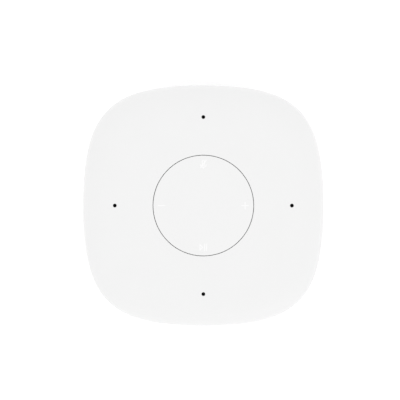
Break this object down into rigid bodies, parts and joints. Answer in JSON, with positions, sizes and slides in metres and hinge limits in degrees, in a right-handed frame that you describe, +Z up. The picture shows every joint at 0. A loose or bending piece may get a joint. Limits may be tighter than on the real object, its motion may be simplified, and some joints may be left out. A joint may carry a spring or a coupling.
{
  "type": "streaming media player",
  "caption": "Squircle tabletop media puck with a tilting four-way control disc, far-field microphone holes, a down-firing speaker and a recessed rear socket panel.",
  "frame": {"origin": "centre of the bounding box's bottom, on the surface the feet stand on", "axes": "+Z up, +Y towards the rear sockets, +X towards the volume-up side of the disc"},
  "size_m": [0.11, 0.1099, 0.032],
  "materials": {
    "aluminium": "extruded",
    "base_plastic": "fine moulded texture",
    "black_plastic": "matt",
    "black_rubber": "matt",
    "cable": "jacket",
    "capacitor_sleeve": "sleeve",
    "chip_epoxy": "matt",
    "clear_plastic": "frosted",
    "copper": "enamelled copper",
    "cream_plastic": "satin",
    "ferrite": "matt",
    "gold": "gold plated",
    "green_board": "solder mask",
    "grey_rubber": "matt",
    "icon_white": "satin",
    "led": "clear resin",
    "magnet": "ferrite",
    "nickel": "nickel plated",
    "panel_plastic": "matt",
    "red_plastic": "satin",
    "ribbon": "film",
    "speaker_cone": "pressed paper",
    "steel": "zinc plated",
    "thermal_pad": "soft",
    "white_shell": "fine moulded texture"
  },
  "bodies": {
    "case": {"top_cover": "white_shell", "base_tray": "base_plastic", "rear_port_panel": "panel_plastic", "feet": "grey_rubber", "case_screws": "steel", "rocker_chassis": "black_plastic", "chassis_screws": "steel", "switch_bodies": "black_plastic", "control_board": "green_board", "control_board_screws": "steel", "indicator_leds": "led", "light_guide": "clear_plastic", "microphones": "nickel", "microphone_boots": "black_rubber", "main_board": "green_board", "main_board_screws": "steel", "processor": "chip_epoxy", "memory_chips": "chip_epoxy", "thermal_pad": "thermal_pad", "heat_sink": "aluminium", "wireless_shield": "nickel", "ethernet_transformer": "chip_epoxy", "capacitors": "capacitor_sleeve", "power_inductors": "ferrite", "flex_connectors": "cream_plastic", "board_flex_cable": "ribbon", "hdmi_socket": "nickel", "hdmi_tongue": "black_plastic", "ethernet_socket": "nickel", "ethernet_contacts": "gold", "usb_socket": "nickel", "usb_tongue": "black_plastic", "power_jack": "black_plastic", "power_jack_pin": "nickel", "reset_switch": "nickel", "antennas": "gold", "antenna_leads": "cable", "coax_sockets": "gold", "speaker_chamber": "black_plastic", "speaker_gasket": "black_rubber", "speaker_basket": "steel", "speaker_surround": "black_rubber", "speaker_yoke": "steel", "speaker_magnet": "magnet", "speaker_leads": "cable"},
    "gimbal": {"gimbal_ring": "cream_plastic", "gimbal_pins": "steel"},
    "disc": {"control_disc": "white_shell", "disc_icons": "icon_white", "disc_carrier": "black_plastic"},
    "volume_up_plunger": {"plunger_volume_up": "red_plastic"},
    "volume_down_plunger": {"plunger_volume_down": "red_plastic"},
    "mute_plunger": {"plunger_mute": "red_plastic"},
    "play_plunger": {"plunger_play": "red_plastic"},
    "reset_button": {"reset_cap": "panel_plastic", "reset_plunger": "red_plastic"},
    "speaker_diaphragm": {"speaker_cone": "speaker_cone", "voice_coil": "copper"}
  },
  "joints": [
    {"name": "volume_rocker", "type": "hinge", "parent": "case", "child": "gimbal", "pos_m": [0, 0, 0.0269], "axis": [0, 1, 0], "range_deg": [-1.5, 1.5], "stiffness_Nm_per_rad": 0.6},
    {"name": "function_rocker", "type": "hinge", "parent": "gimbal", "child": "disc", "pos_m": [0, 0, 0.0269], "axis": [1, 0, 0], "range_deg": [-1.5, 1.5], "stiffness_Nm_per_rad": 0.6},
    {"name": "volume_up_press", "type": "slide", "parent": "case", "child": "volume_up_plunger", "axis": [0, 0, -1], "range_m": [-0.00052, 0.00052]},
    {"name": "volume_down_press", "type": "slide", "parent": "case", "child": "volume_down_plunger", "axis": [0, 0, -1], "range_m": [-0.00052, 0.00052]},
    {"name": "play_press", "type": "slide", "parent": "case", "child": "play_plunger", "axis": [0, 0, -1], "range_m": [-0.00052, 0.00052]},
    {"name": "mute_press", "type": "slide", "parent": "case", "child": "mute_plunger", "axis": [0, 0, -1], "range_m": [-0.00052, 0.00052]},
    {"name": "reset_press", "type": "slide", "parent": "case", "child": "reset_button", "axis": [0, 0, 1], "range_m": [0, 0.0003], "stiffness_N_per_m": 1500},
    {"name": "cone_travel", "type": "slide", "parent": "case", "child": "speaker_diaphragm", "axis": [0, 0, 1], "range_m": [-0.0008, 0.0008], "stiffness_N_per_m": 3000, "deforming": ["speaker_surround"]}
  ],
  "couplings": [
    {"joint": "volume_up_press", "follows": "volume_rocker", "m_per_rad": 0.0195},
    {"joint": "volume_down_press", "follows": "volume_rocker", "m_per_rad": -0.0195},
    {"joint": "play_press", "follows": "function_rocker", "m_per_rad": 0.0195},
    {"joint": "mute_press", "follows": "function_rocker", "m_per_rad": -0.0195}
  ]
}
